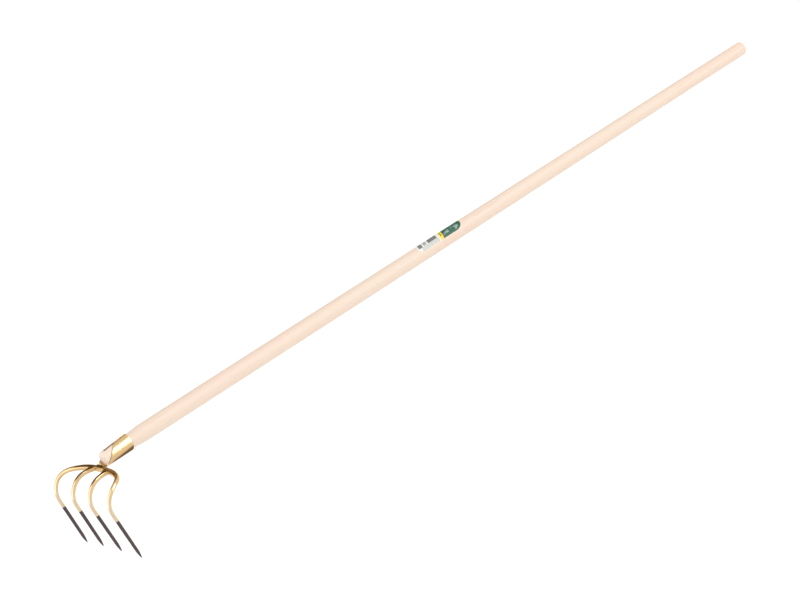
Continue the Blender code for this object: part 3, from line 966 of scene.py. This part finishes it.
def gold_lacquer():
    """Clear gold lacquer over bright steel, thin on the tines and brown where it lies thick, with
    painted dark reflection on the bar tops and under the socket and painted shade along the
    opening's left edge.
    """
    head = settings().head
    socket = settings().socket
    material, finish = new_material("gold lacquer")
    place = finish.tool_coordinates()
    side, position, height = finish.parts(place)
    drained = finish.between(height, *DRAINED_HEIGHTS)
    colour = finish.mix(finish.times(drained, 0.60), head.gold, head.thin_gold)
    runs = finish.streaks(place, (34.0, 34.0, 22.0), 4.0, 0.6)
    runs = finish.ramp(runs, ((0.34, 0.0), (0.72, 1.0)))
    specks = finish.noise(place, 420.0, 2.0, 0.6)
    thick = finish.plus(finish.times(specks, 0.05), runs, 0.10)
    # painted dark reflection on the flat tops of the forged bars
    painted_dark_tops = finish.times(
        finish.between(finish.facing(TOPS_DIRECTION), 0.70, 0.90),
        finish.between(position, *TOPS_POSITIONS),
        finish.between(height, *TOPS_HEIGHTS),
        finish.between(finish.math("ABSOLUTE", side), *TOPS_SIDES))
    # painted dark reflection on the underside of the socket, most of all at the rim; it is made
    # less metallic there
    outward_there = finish.direction(place, (1.0, 0.0, 1.0))
    lowness = finish.dot(outward_there, polar(DARK_UNDERSIDE_ANGLE, 1.0, 0.0, 0.0))
    limit = finish.graded(position, DARK_UNDERSIDE_FOOT, DARK_UNDERSIDE_RIM, 0.74, 0.38)
    painted_dark_underside = finish.times(
        finish.graded(lowness, limit, finish.math("ADD", limit, 0.22)),
        finish.between(position, *DARK_UNDERSIDE_POSITIONS))
    # painted shade along the sheet's straight left edge
    left_edge = polar(socket.seam_turn - EDGE_SHADE_TURN, 1.0, 0.0, 0.0)
    painted_edge_shade = finish.times(
        finish.between(position, *EDGE_SHADE_POSITIONS),
        finish.between(position, seam_end() + EDGE_SHADE_END, seam_end() - EDGE_SHADE_END),
        finish.between(finish.dot(outward_there, left_edge), 0.93, 0.97))
    # the painted dark reflection and shade are added to the thick lacquer and drawn in its deep
    # gold
    for painted_dark, share in ((painted_dark_tops, 0.76), (painted_dark_underside, 1.0), (painted_edge_shade, 0.80)):
        thick = finish.plus(thick, painted_dark, share)
    smear = finish.noise(place, 160.0, 3.0, 0.6)
    dents = finish.noise(place, 70.0, 1.0, 0.4)
    skin = finish.noise(place, 900.0, 2.0, 0.5)
    finish.wear({
        "Base Color": finish.mix(finish.math("MINIMUM", thick, 1.0), colour, head.deep_gold),
        "Metallic": finish.math("SUBTRACT", 1.0, painted_dark_underside),
        "Roughness": finish.plus(finish.plus(0.18, smear, 0.10), painted_dark_underside, 0.35),
        "Specular IOR Level": 0.15,
        "Specular Tint": LACQUER_GLINT,
        "Coat Weight": finish.plus(0.45, finish.math("MAXIMUM", painted_dark_underside, painted_dark_tops), -0.45),
        "Coat Roughness": 0.10,
        "Normal": finish.bump(skin, 0.06, 0.00008, finish.bump(dents, 0.10, 0.0006))})
    return material


def black_lacquer():
    """Satin dip lacquer with runs down the tines and a little dust."""
    dip = settings().dip
    material, finish = new_material("black lacquer")
    place = finish.tool_coordinates()
    runs = finish.streaks(place, (160.0, 160.0, 26.0), 3.0, 0.55)
    dust = finish.ramp(finish.noise(place, 1300.0, 2.0, 0.6), ((0.55, 0.0), (0.75, 1.0)))
    dusty = tuple(min(level * 2.0 + 0.01, 1.0) for level in dip.black)
    finish.wear({
        "Base Color": finish.mix(finish.times(dust, 0.35), dip.black, dusty),
        "Roughness": finish.plus(0.42, runs, 0.20),
        "Specular IOR Level": 0.25,
        "Normal": finish.bump(runs, 0.35, 0.0004)})
    return material


def bright_steel():
    """Drawn steel of the nail, scratched round and dull in spots."""
    material, finish = new_material("bright steel")
    place = finish.tool_coordinates()
    scratches = finish.streaks(place, (300.0, 2400.0, 2400.0), 3.0, 0.6)
    finish.wear({
        "Base Color": finish.mix(finish.noise(place, 500.0, 2.0, 0.5), WORN_STEEL, DULL_STEEL),
        "Metallic": 1.0,
        "Roughness": finish.plus(0.24, scratches, 0.25),
        "Normal": finish.bump(scratches, 0.2, 0.00005)})
    return material


def label_paper():
    """Printed paper: a light field with grey blocks, a yellow band and a green field."""
    label = settings().label
    material, finish = new_material("label paper")
    flat = finish.lay("ShaderNodeUVMap", uv_map="label").outputs[0]
    along, across = finish.parts(flat)[:2]

    def inside(low_along, high_along, low_across, high_across):
        """1 within a printed block."""
        return finish.times(
            finish.math("GREATER_THAN", along, low_along),
            finish.math("LESS_THAN", along, high_along),
            finish.math("GREATER_THAN", across, low_across),
            finish.math("LESS_THAN", across, high_across))

    def leaf(place, size, turn):
        """1 within an ellipse, for the pale leaves of the green field."""
        inputs = {
            "Vector": flat, "Location": (*place, 0.0), "Rotation": (0.0, 0.0, turn),
            "Scale": (*size, 1.0)}
        moved = finish.lay("ShaderNodeMapping", inputs, vector_type="TEXTURE").outputs[0]
        reach = finish.lay("ShaderNodeVectorMath", {0: moved}, operation="LENGTH").outputs["Value"]
        return finish.math("LESS_THAN", reach, 1.0)

    mottle = finish.streaks(flat, (46.0, 13.0, 1.0), 2.0, 0.6)
    mid_grey = tuple(level * 0.50 for level in label.paper)
    light_grey = tuple(level * 0.82 for level in label.paper)
    small_print = finish.mix(finish.ramp(mottle, ((0.35, 0.0), (0.65, 0.5))), light_grey, mid_grey)
    dark_print = finish.mix(finish.ramp(mottle, ((0.40, 0.0), (0.75, 0.6))), label.grey, mid_grey)
    green_start = 0.563
    colour = label.paper
    for block, ink in (
        ((0.080, 0.47, 0.78, 1.1), small_print),
        ((0.135, 0.205, 0.30, 0.75), mid_grey),
        ((0.025, 0.105, -0.1, 0.775), dark_print),
        ((0.236, 0.437, -0.1, 0.755), dark_print),
        ((0.492, green_start, -1.0, 2.0), label.yellow),
        ((0.512, 0.540, 0.42, 0.80), BROWN_INK),
    ):
        colour = finish.mix(inside(*block), colour, ink)
    colour = finish.mix(finish.math("GREATER_THAN", along, green_start), colour, label.green)
    for place, size, turn, share in (
        ((0.62, 0.76), (0.034, 0.10), 0.3, 0.30),
        ((0.675, 0.72), (0.036, 0.11), 0.15, 0.35),
        ((0.688, 0.79), (0.020, 0.05), -0.3, 0.45),
        ((0.865, 0.72), (0.050, 0.10), -0.2, 0.35),
        ((0.885, 0.80), (0.036, 0.07), 0.3, 0.30),
        ((0.862, 0.865), (0.018, 0.035), 0.0, 0.60),
        ((0.77, 0.66), (0.030, 0.12), 0.1, 0.15),
    ):
        colour = finish.mix(finish.times(leaf(place, size, turn), share), colour, LEAF_GREEN)
    grain = finish.streaks(flat, (520.0, 380.0, 1.0), 2.0, 0.6)
    shade = finish.plus(0.93, grain, 0.14)
    shaded = finish.lay("ShaderNodeHueSaturation", {"Color": colour, "Value": shade})
    finish.wear({
        "Base Color": shaded.outputs[0],
        "Roughness": finish.plus(0.34, grain, 0.2),
        "Specular IOR Level": 0.3,
        "Normal": finish.bump(grain, 0.2, 0.00004)})
    return material


def pale_floor():
    """Plain floor that glows a little, as a lit table does."""
    stage = settings().stage
    material, finish = new_material("pale floor")
    finish.wear({
        "Base Color": stage.floor_colour,
        "Roughness": 0.85,
        "Emission Color": WHITE,
        "Emission Strength": stage.floor_glow})
    return material


finishes = {}


def finish_named(name):
    """Each finish is mixed once and used by all the pieces that wear it."""
    makers = {
        "ash_wood": ash_wood, "gold_lacquer": gold_lacquer, "black_lacquer": black_lacquer,
        "bright_steel": bright_steel, "label_paper": label_paper}
    if name not in finishes:
        finishes[name] = makers[name]()
    return finishes[name]


# Operators

class MakeHandle(bpy.types.Operator):
    """Turn the tapered ash handle with its slim nose"""
    bl_idname = "drag.make_handle"
    bl_label = "Turn the handle"

    def execute(self, context):
        handle = turn_on_lathe("handle_turned", handle_rows(), 96)
        self.swell(handle)
        lay_in_place(handle)
        finish_piece(handle, "ash_wood", "handle")
        return {"FINISHED"}

    def swell(self, handle):
        """The wood stands a little proud of the sheet in the socket's opening."""
        socket = settings().socket
        for corner in handle.data.vertices:
            height = socket_height(corner.co.y)
            reach = math.hypot(corner.co.x, corner.co.z - height)
            if corner.co.y > seam_end() or reach < SWELL_INNERMOST:
                continue
            angle = math.atan2(corner.co.x, corner.co.z - height) - socket.seam_turn
            margin = open_margin(math.remainder(angle, 2 * math.pi), corner.co.y)
            proud = socket.sheet + NOSE_SWELL
            grown = reach + blend(0.0, proud, (margin - SWELL_START_ANGLE) / SWELL_ANGLE)
            corner.co.x *= grown / reach
            corner.co.z = height + (corner.co.z - height) * grown / reach


class MakeSocket(bpy.types.Operator):
    """Roll the socket from sheet, cut to a V on top, with its strap down to the bow bar"""
    bl_idname = "drag.make_socket"
    bl_label = "Roll the socket"

    def execute(self, context):
        socket = settings().socket
        seam_angle = socket.seam_gap / 2 / socket.rim_radius
        start_fresh()
        bpy.ops.mesh.primitive_grid_add(x_subdivisions=144, y_subdivisions=16, size=1.0)
        sheet = named_piece("socket_rolled")
        for corner in sheet.data.vertices:
            angle = seam_angle + (2 * math.pi - 2 * seam_angle) * (corner.co.x + 0.5)
            start = sheet_start(angle)
            position = start + (rim_position() - start) * (corner.co.y + 0.5)
            radius = socket_radius(position) - socket.sheet / 2
            corner.co = polar(angle + socket.seam_turn, radius, position, socket_height(position))
        bpy.ops.object.mode_set(mode="EDIT")
        turn_outward()
        wall = sheet.modifiers.new("wall", "SOLIDIFY")
        wall.thickness = socket.sheet
        wall.offset = 0.0
        wall.use_even_offset = True
        rounding = sheet.modifiers.new("edges", "BEVEL")
        rounding.width = SHEET_EDGE_RADIUS
        rounding.segments = 3
        rounding.limit_method = "ANGLE"
        rounding.angle_limit = SHEET_EDGE_ANGLE
        apply_all(sheet)
        lay_in_place(sheet)
        finish_piece(sheet, "gold_lacquer", "socket")
        return {"FINISHED"}


class MakeOuterBar(bpy.types.Operator):
    """Forge the bow bar with its boss and both outer tines"""
    bl_idname = "drag.make_outer_bar"
    bl_label = "Forge the bow bar"

    def execute(self, context):
        bar = draw_out("bow_bar_forged", bar_rings(outer_stations(), under_dip))
        lay_in_place(bar)
        finish_piece(bar, "gold_lacquer", "outer_tine_bow")
        return {"FINISHED"}


class MakeInnerTines(bpy.types.Operator):
    """Forge the two inner tines and set them against the front of the bow bar"""
    bl_idname = "drag.make_inner_tines"
    bl_label = "Forge the inner tines"

    def execute(self, context):
        for mirror, side in ((-1, "left"), (1, "right")):
            rings = bar_rings(inner_stations(mirror), under_dip)
            tine = draw_out("inner_tine_forged_" + side, rings)
            lay_in_place(tine)
            finish_piece(tine, "gold_lacquer", "inner_tine_" + side)
        return {"FINISHED"}


def dip_line(place):
    """Height of the dip line, which differs a little from tine to tine."""
    lift = next(lift for limit, lift in DIP_LIFTS if place.x < limit)
    return settings().dip.line + lift


def under_dip(centre):
    """How much thinner the steel is drawn where the dipped film covers it."""
    covered = centre.z < dip_line(centre) - UNDER_DIP_START
    return settings().dip.film * UNDER_DIP_SHARE if covered else 0.0


def dip_rings(stations):
    """Rings of the film: a level, rounded lip at the dip line, then down to the point."""
    dip = settings().dip
    line = dip_line(stations[-1][0])
    covered = [station for station in stations if station[0].z < line - DIP_FIRST_RING]
    centre, up, wide, thick, edge = covered[0]
    along = (covered[1][0] - centre).normalized()
    lip_steps = 4
    rings = []
    for step in range(lip_steps + 1):
        angle = math.pi / 2 * step / lip_steps
        less = 2 * dip.film * (1 - math.sin(angle))
        level = line - DIP_LIP_HEIGHT * (1 - math.cos(angle))
        ring = bar_ring(centre, along, up, wide - less, thick - less, edge - less / 2)
        rings.append([corner + along * ((level - corner.z) / along.z) for corner in ring])
    return rings + bar_rings(covered, lambda centre: 0.0)


class MakeDips(bpy.types.Operator):
    """Dip the four points in black lacquer, each up to its own level line"""
    bl_idname = "drag.make_dips"
    bl_label = "Dip the points"

    def execute(self, context):
        outer = outer_stations()
        middle = len(outer) // 2
        tines = (
            ("dip_outer_left", outer[:middle][::-1]), ("dip_outer_right", outer[middle:]),
            ("dip_inner_left", inner_stations(-1)), ("dip_inner_right", inner_stations(1)))
        for name, stations in tines:
            coat = draw_out(name, dip_rings(stations))
            lay_in_place(coat)
            finish_piece(coat, "black_lacquer")
        return {"FINISHED"}


def bow_front(side, mirror):
    """Forward position of the bow bar's front face at a distance from the handle's line."""
    head = settings().head
    power = bow_power(mirror)
    share = (1 - (side / bow_reach(mirror)) ** power) ** (1 / power)
    return head.bow_depth * (1 - share) + head.bar_width / 2


def root_corner(mirror, corner):
    """Where a flank of an inner tine meets the front of the bow bar, found in a few rounds."""
    side = INNER_ROOT_OFFSET
    for _ in range(4):
        forward = bow_front(side, mirror)
        width = settings().head.inner_width + root_spread(forward)
        side = inner_side(forward) + corner * width / 2
    return side, forward


class MakeWelds(bpy.types.Operator):
    """Lay the weld beads beside the inner tines and under the strap"""
    bl_idname = "drag.make_welds"
    bl_label = "Lay the welds"

    def execute(self, context):
        for mirror, side_name in ((-1, "left"), (1, "right")):
            for corner, corner_name in ((-1, "near"), (1, "far")):
                name = side_name + "_" + corner_name
                path = self.corner_path(mirror, corner)
                self.bead(f"weld_{name}_bead", path, CORNER_BEAD_RADIUS, "weld_inner_" + name)
        self.bead("weld_neck_bead", self.neck_path(), NECK_BEAD_RADIUS, "weld_neck")
        return {"FINISHED"}

    def corner_path(self, mirror, corner):
        """Straight down the corner between an inner tine and the bow bar."""
        side, forward = root_corner(mirror, corner)
        steps = 40
        path = []
        for step in range(steps + 1):
            rise = CORNER_BEAD_LENGTH / 2 - CORNER_BEAD_LENGTH * step / steps
            path.append(Vector((side * mirror, -forward, bow_height() + rise)))
        return path

    def neck_path(self):
        """Round the outside of the strap where it meets the bow bar."""
        half_angle = STRAP_HALF_ANGLE - STRAP_FILLET_ANGLE
        reach = socket_radius(neck_end()) + NECK_BEAD_LIFT
        position = neck_end() + NECK_BEAD_SETBACK
        half_steps = 40
        path = []
        for step in range(2 * half_steps + 1):
            angle = math.pi + STRAP_TURN + half_angle * (step / half_steps - 1)
            path.append(polar(angle, reach, position, socket_height(neck_end())))
        return path

    def bead(self, name, path, radius, node):
        """A rippled bead along a path, rounded off at both ends."""
        rings = []
        walked = 0.0
        length = sum((b - a).length for a, b in zip(path, path[1:]))
        for index, centre in enumerate(path):
            along = heading(path, index)
            walked += (centre - path[index - 1]).length if index else 0.0
            across = along.orthogonal().normalized()
            upward = along.cross(across)
            to_end = min(walked, length - walked) / radius
            cap = math.sqrt(max(1 - (1 - min(to_end, 1.0)) ** 2, 0.02))
            ripples = abs(math.sin(math.pi * walked / (radius * RIPPLE_LENGTH)))
            ring = []
            for corner in range(24):
                angle = 2 * math.pi * corner / 24
                outwards = across * math.cos(angle) + upward * math.sin(angle)
                ring.append(centre + outwards * radius * cap * (1 - RIPPLE_DEPTH * ripples))
            rings.append(ring)
        bead = draw_out(name, rings)
        lay_in_place(bead, math.radians(60))
        finish_piece(bead, "gold_lacquer", node)


class MakeNail(bpy.types.Operator):
    """Drive the round-headed nail through the socket's left side"""
    bl_idname = "drag.make_nail"
    bl_label = "Drive the nail"

    def execute(self, context):
        position = rim_position() - NAIL_SETBACK
        seat = socket_radius(position + NAIL_HEAD_RADIUS) + FIT_GAP / 2
        rows = [
            (-NAIL_LENGTH, NAIL_POINT_RADIUS, 0.0), (-NAIL_POINT_START, NAIL_SHANK_RADIUS, 0.0),
            (-0.0001, NAIL_SHANK_RADIUS, 0.0), (0.0, NAIL_HEAD_RADIUS * 0.94, 0.0),
            (NAIL_HEAD_EDGE, NAIL_HEAD_RADIUS, 0.0)]
        dome_steps = 12
        for step in range(1, dome_steps):
            angle = math.pi / 2 * step / dome_steps
            rise = NAIL_HEAD_EDGE + NAIL_HEAD_HEIGHT * math.sin(angle)
            rows.append((rise, NAIL_HEAD_RADIUS * math.cos(angle), 0.0))
        nail = turn_on_lathe("nail_driven", rows, 40)
        turn = Matrix.Rotation(math.pi / 2, 4, "Z")
        place = Matrix.Translation((-seat, position, socket_height(position)))
        nail.data.transform(place @ turn)
        lay_in_place(nail)
        finish_piece(nail, "bright_steel", "nail")
        return {"FINISHED"}


class MakeLabel(bpy.types.Operator):
    """Wrap the printed paper label round the upper side of the handle"""
    bl_idname = "drag.make_label"
    bl_label = "Wrap the label"

    def execute(self, context):
        label = settings().label
        start_fresh()
        bpy.ops.mesh.primitive_grid_add(
            x_subdivisions=80, y_subdivisions=40, size=1.0, calc_uvs=True)
        sheet = named_piece("label_wrapped")
        print_map = sheet.data.uv_layers[0]
        print_map.name = "label"
        flat_places = []
        for corner in sheet.data.vertices:
            # rows crowd towards both ends, where the corners are round
            along = label.length * (0.5 - 0.5 * math.cos(math.pi * (corner.co.x + 0.5)))
            inset = 0.0
            for from_end, rounding in ((along, LABEL_CORNER), (label.length - along, LABEL_CROWN)):
                if from_end < rounding:
                    inset = rounding - math.sqrt(rounding ** 2 - (rounding - from_end) ** 2)
            position = rim_position() + label.start + along
            radius = handle_radius(position) + FIT_GAP / 2
            angle = (LABEL_HALF_ANGLE - inset / radius) * 2 * corner.co.y
            corner.co = polar(angle, radius, position, 0.0)
            across = 0.5 + angle / LABEL_HALF_ANGLE / 2
            slant = LABEL_SLANT * (across - LABEL_SLANT_PIVOT)
            flat_places.append((along / label.length + slant, across))
        for loop in sheet.data.loops:
            print_map.data[loop.index].uv = flat_places[loop.vertex_index]
        bpy.ops.object.mode_set(mode="EDIT")
        turn_outward()
        wall = sheet.modifiers.new("paper", "SOLIDIFY")
        wall.thickness = LABEL_THICKNESS
        wall.offset = 1.0
        apply_all(sheet)
        lay_in_place(sheet)
        finish_piece(sheet, "label_paper", "label")
        return {"FINISHED"}


class MakeStage(bpy.types.Operator):
    """Set the pale floor, the white room, the lights and the camera"""
    bl_idname = "drag.make_stage"
    bl_label = "Set the stage"

    def execute(self, context):
        stage = settings().stage
        start_fresh()
        bpy.ops.mesh.primitive_circle_add(
            vertices=96, radius=60.0, fill_type="NGON", location=(0.0, 0.0, -0.0004))
        floor = bpy.context.object
        floor.name = "floor"
        floor.data.materials.append(pale_floor())
        box_place = BOX_DIRECTION * LIGHT_DISTANCE
        fill_place = FILL_DIRECTION * LIGHT_DISTANCE
        head = tool_place().to_translation()
        self.light("soft box", box_place, ROOM_MIDDLE, (2.9, 5.0), stage.box_power, "diffuse")
        self.light("fill light", fill_place, ROOM_MIDDLE, (2.2, 2.2), stage.fill_power, "glossy")
        self.light("bounce card", head + CARD_OFFSET, head, (0.6, 0.6), stage.card_power, "diffuse")
        bpy.ops.object.camera_add(location=stage.camera_place, rotation=stage.camera_turn)
        camera = bpy.context.object
        camera.data.lens = stage.lens
        camera.data.sensor_width = 36.0
        camera.data.shift_x, camera.data.shift_y = stage.camera_shift
        camera.data.clip_end = 200.0
        context.scene.camera = camera
        self.room(stage)
        context.scene.view_settings.view_transform = "Standard"
        return {"FINISHED"}

    def light(self, name, place, target, size, power, left_out):
        """An area light that neither the camera nor one kind of ray sees."""
        bpy.ops.object.light_add(type="AREA", location=place)
        light = bpy.context.object
        light.name = name
        light.data.shape = "RECTANGLE"
        light.data.size, light.data.size_y = size
        light.data.energy = power
        light.visible_camera = False
        setattr(light, "visible_" + left_out, False)
        light.rotation_euler = (place - target).to_track_quat("Z", "Y").to_euler()

    def room(self, stage):
        """A white room with an unlit wall on its far side, above the horizon."""
        world = bpy.data.worlds.new("white room")
        bpy.context.scene.world = world
        world.use_nodes = True
        finish = Finish(world.node_tree, "Background")
        view = finish.lay("ShaderNodeTexCoord").outputs["Generated"]
        toward = finish.dot(finish.direction(view, (1.0, 1.0, 0.0)), FAR_WALL_DIRECTION)
        height = finish.parts(view)[2]
        above = finish.times(finish.between(height, 0.09, 0.16), finish.between(height, 0.76, 0.60))
        wall = finish.times(finish.between(toward, 0.84, 0.94), above)
        finish.wear({
            "Color": finish.mix(wall, WHITE, stage.far_wall),
            "Strength": stage.room_strength})


class DragSettings(bpy.types.PropertyGroup):
    handle: bpy.props.PointerProperty(type=HandleSettings)
    head: bpy.props.PointerProperty(type=HeadSettings)
    dip: bpy.props.PointerProperty(type=DipSettings)
    socket: bpy.props.PointerProperty(type=SocketSettings)
    label: bpy.props.PointerProperty(type=LabelSettings)
    stage: bpy.props.PointerProperty(type=StageSettings)


operators = (
    MakeHandle, MakeSocket, MakeOuterBar, MakeInnerTines, MakeDips, MakeWelds, MakeNail,
    MakeLabel, MakeStage)


class DragPanel(bpy.types.Panel):
    """The pieces of the manure drag, in the order in which they are made"""
    bl_idname = "VIEW3D_PT_manure_drag"
    bl_label = "Manure Drag"
    bl_space_type = "VIEW_3D"
    bl_region_type = "UI"
    bl_category = "Manure Drag"

    def draw(self, context):
        column = self.layout.column()
        for operator in operators:
            column.operator(operator.bl_idname)
        for name in DragSettings.__annotations__:
            group = getattr(context.scene.manure_drag, name)
            column.label(text=name.capitalize())
            for setting in group.__annotations__:
                column.prop(group, setting)


classes = (
    HandleSettings, HeadSettings, DipSettings, SocketSettings, LabelSettings, StageSettings,
    DragSettings, *operators, DragPanel)


def register():
    for entry in classes:
        bpy.utils.register_class(entry)
    bpy.types.Scene.manure_drag = bpy.props.PointerProperty(type=DragSettings)


def unregister():
    del bpy.types.Scene.manure_drag
    for entry in reversed(classes):
        bpy.utils.unregister_class(entry)


def main():
    register()
    bpy.ops.drag.make_handle()
    bpy.ops.drag.make_socket()
    bpy.ops.drag.make_outer_bar()
    bpy.ops.drag.make_inner_tines()
    bpy.ops.drag.make_dips()
    bpy.ops.drag.make_welds()
    bpy.ops.drag.make_nail()
    bpy.ops.drag.make_label()
    bpy.ops.drag.make_stage()


if __name__ == "__main__":
    main()
